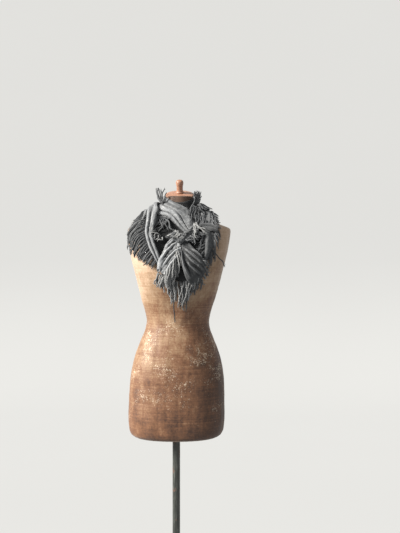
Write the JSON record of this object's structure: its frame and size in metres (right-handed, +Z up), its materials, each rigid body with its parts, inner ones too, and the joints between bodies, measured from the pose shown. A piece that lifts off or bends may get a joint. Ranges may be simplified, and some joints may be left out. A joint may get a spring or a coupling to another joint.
{
  "type": "fringed scarf on a dress form",
  "caption": "Charcoal wool scarf wound round the neck of a limbless dress form on a stand, with two short tails tucked at the chest and loose yarn fringe on its edges.",
  "frame": {"origin": "on the floor under the pole's axis, at the centre of the base plate's underside", "axes": "+Z up along the pole, -Y the front of the form, +X the wearer's left side, which is the right of the front view"},
  "size_m": [0.3695, 0.34, 1.5694],
  "materials": {
    "papier_mache": "worn varnish",
    "waxed_wood": "waxed",
    "iron_pipe": "worn black paint",
    "cast_base": "blackened",
    "wool_cloth": "soft wool weave",
    "wool_yarn": "loose twisted yarn"
  },
  "bodies": {
    "root": {"dress_form": "papier_mache", "neck_cap": "waxed_wood", "cap_knob": "waxed_wood", "pole": "iron_pipe", "base_plate": "cast_base", "yoke": "wool_cloth", "collar_wrap": "wool_cloth", "outer_loop": "wool_cloth", "left_tail": "wool_cloth", "right_tail": "wool_cloth", "cross_band": "wool_cloth", "right_flap": "wool_cloth", "fringe_left": "wool_yarn", "fringe_right": "wool_yarn", "fringe_back": "wool_yarn", "fringe_point": "wool_yarn", "fringe_left_tail": "wool_yarn", "fringe_left_tail_side": "wool_yarn", "fringe_right_tail": "wool_yarn", "fringe_right_tail_side": "wool_yarn", "fringe_cross": "wool_yarn", "fringe_hollow_left": "wool_yarn", "fringe_hollow_right": "wool_yarn", "fringe_tuft_left": "wool_yarn", "fringe_tuft_right": "wool_yarn", "fringe_shoulder": "wool_yarn", "fringe_middle": "wool_yarn"}
  },
  "joints": []
}
